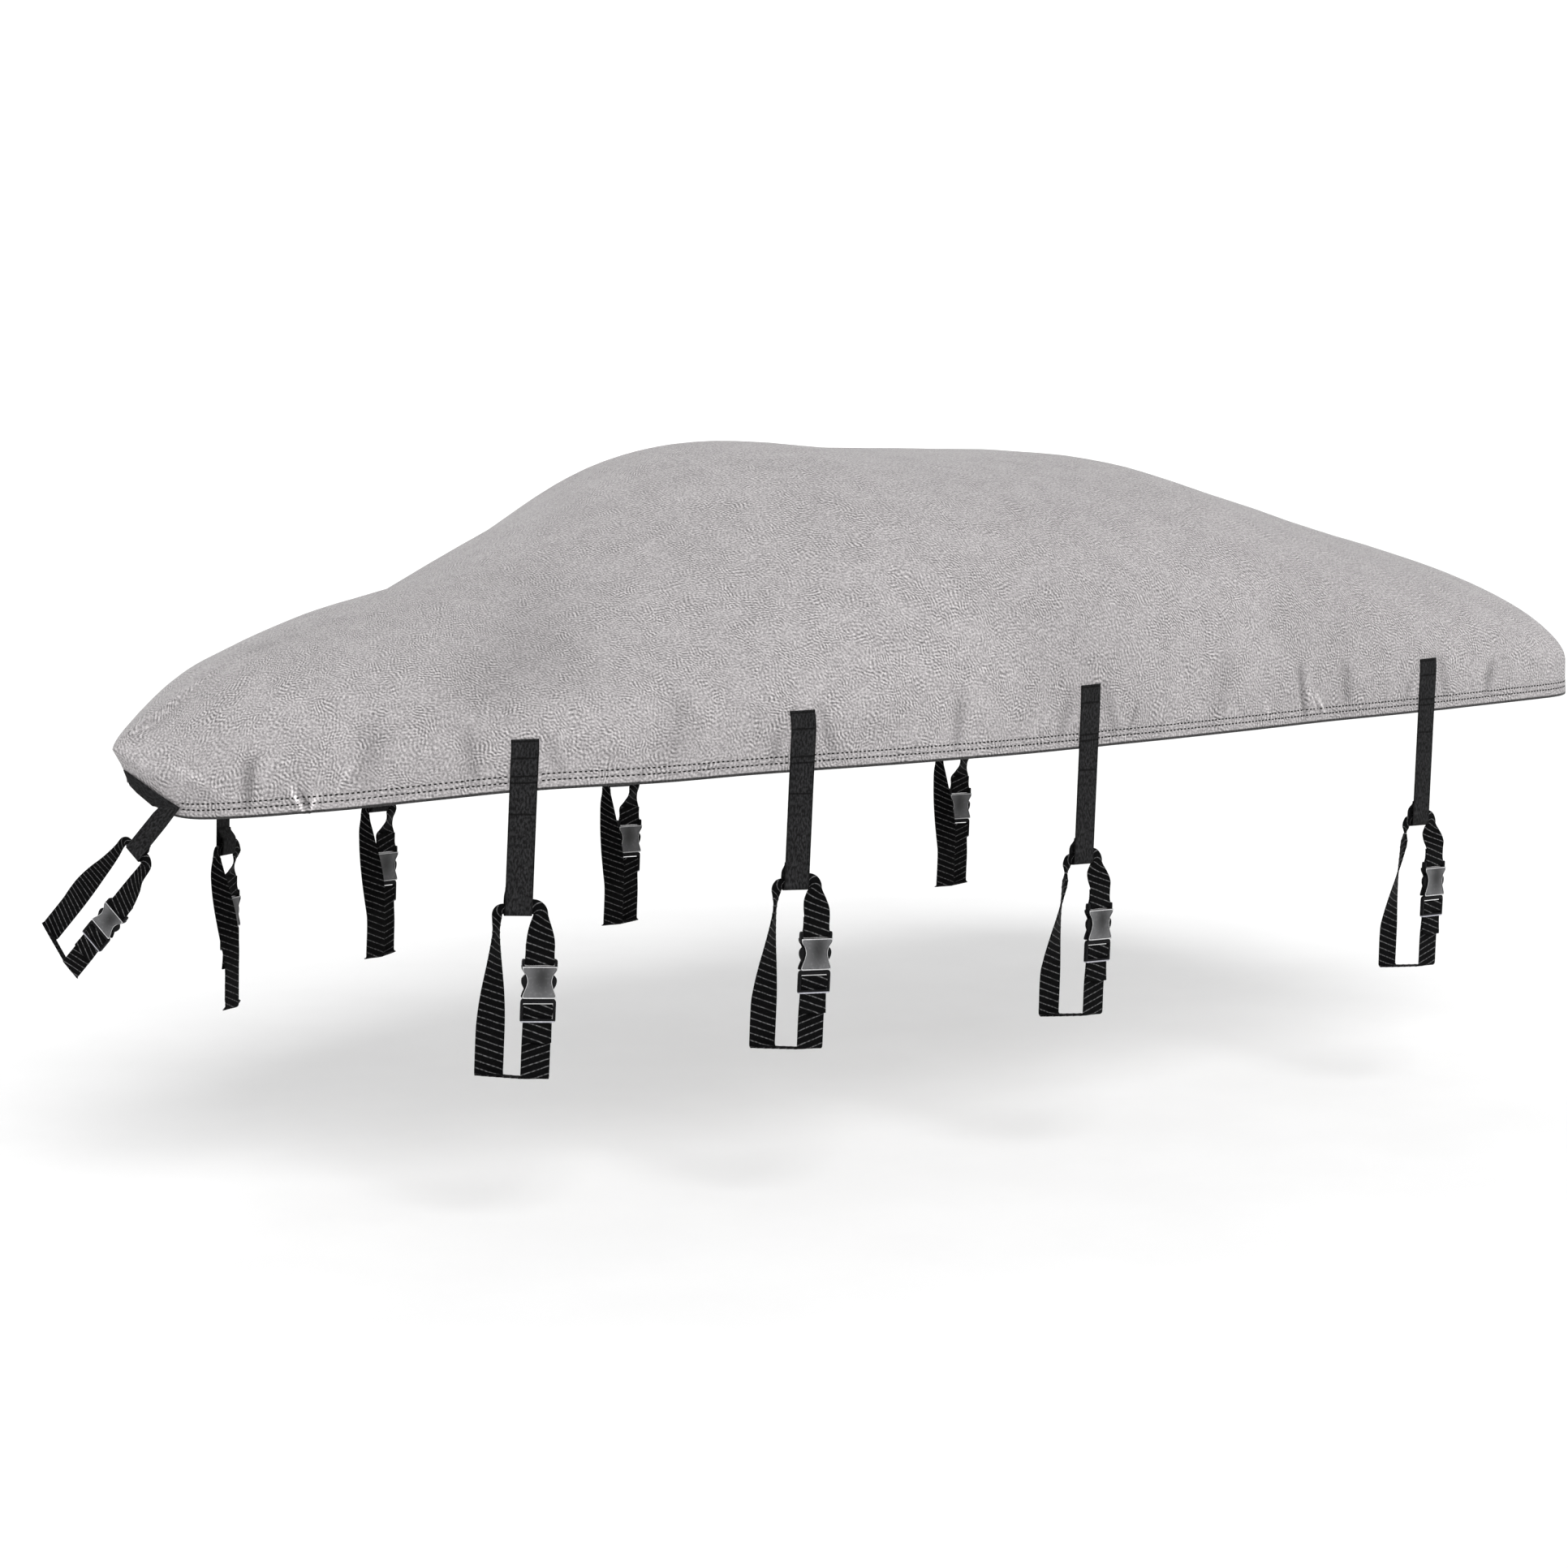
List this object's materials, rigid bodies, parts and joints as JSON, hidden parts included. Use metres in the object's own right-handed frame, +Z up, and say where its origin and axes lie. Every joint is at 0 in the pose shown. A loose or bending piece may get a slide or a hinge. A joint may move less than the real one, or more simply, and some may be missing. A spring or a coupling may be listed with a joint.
{
  "type": "boat cover",
  "caption": "Fitted cloth boat cover, hollow and open below, with a stitched hem and webbing straps whose buckled loops go round a trailer's rail.",
  "frame": {"origin": "underside of the cloth at its crown, on the centreline, where the boat's windscreen or a support pole pushes it up", "axes": "+X towards the stern, +Z up, +Y to starboard; port is -Y"},
  "size_m": [4.7391, 2.0363, 1.55],
  "materials": {
    "cover_cloth": "matte",
    "strap_webbing": "matte",
    "loop_webbing": "matte",
    "buckle_plastic": "satin"
  },
  "bodies": {
    "root": {"cover": "cover_cloth", "strap_port_1": "strap_webbing", "strap_port_2": "strap_webbing", "strap_port_3": "strap_webbing", "strap_port_4": "strap_webbing", "strap_starboard_1": "strap_webbing", "strap_starboard_2": "strap_webbing", "strap_starboard_3": "strap_webbing", "strap_starboard_4": "strap_webbing", "strap_bow": "strap_webbing", "web_port_1": "loop_webbing", "web_port_2": "loop_webbing", "web_port_3": "loop_webbing", "web_port_4": "loop_webbing", "web_starboard_1": "loop_webbing", "web_starboard_2": "loop_webbing", "web_starboard_3": "loop_webbing", "web_starboard_4": "loop_webbing", "web_bow": "loop_webbing", "latch_port_1": "buckle_plastic", "latch_port_2": "buckle_plastic", "latch_port_3": "buckle_plastic", "latch_port_4": "buckle_plastic", "latch_starboard_1": "buckle_plastic", "latch_starboard_2": "buckle_plastic", "latch_starboard_3": "buckle_plastic", "latch_starboard_4": "buckle_plastic", "latch_bow": "buckle_plastic", "socket_port_1": "buckle_plastic", "socket_port_2": "buckle_plastic", "socket_port_3": "buckle_plastic", "socket_port_4": "buckle_plastic", "socket_starboard_1": "buckle_plastic", "socket_starboard_2": "buckle_plastic", "socket_starboard_3": "buckle_plastic", "socket_starboard_4": "buckle_plastic", "socket_bow": "buckle_plastic"}
  },
  "joints": []
}
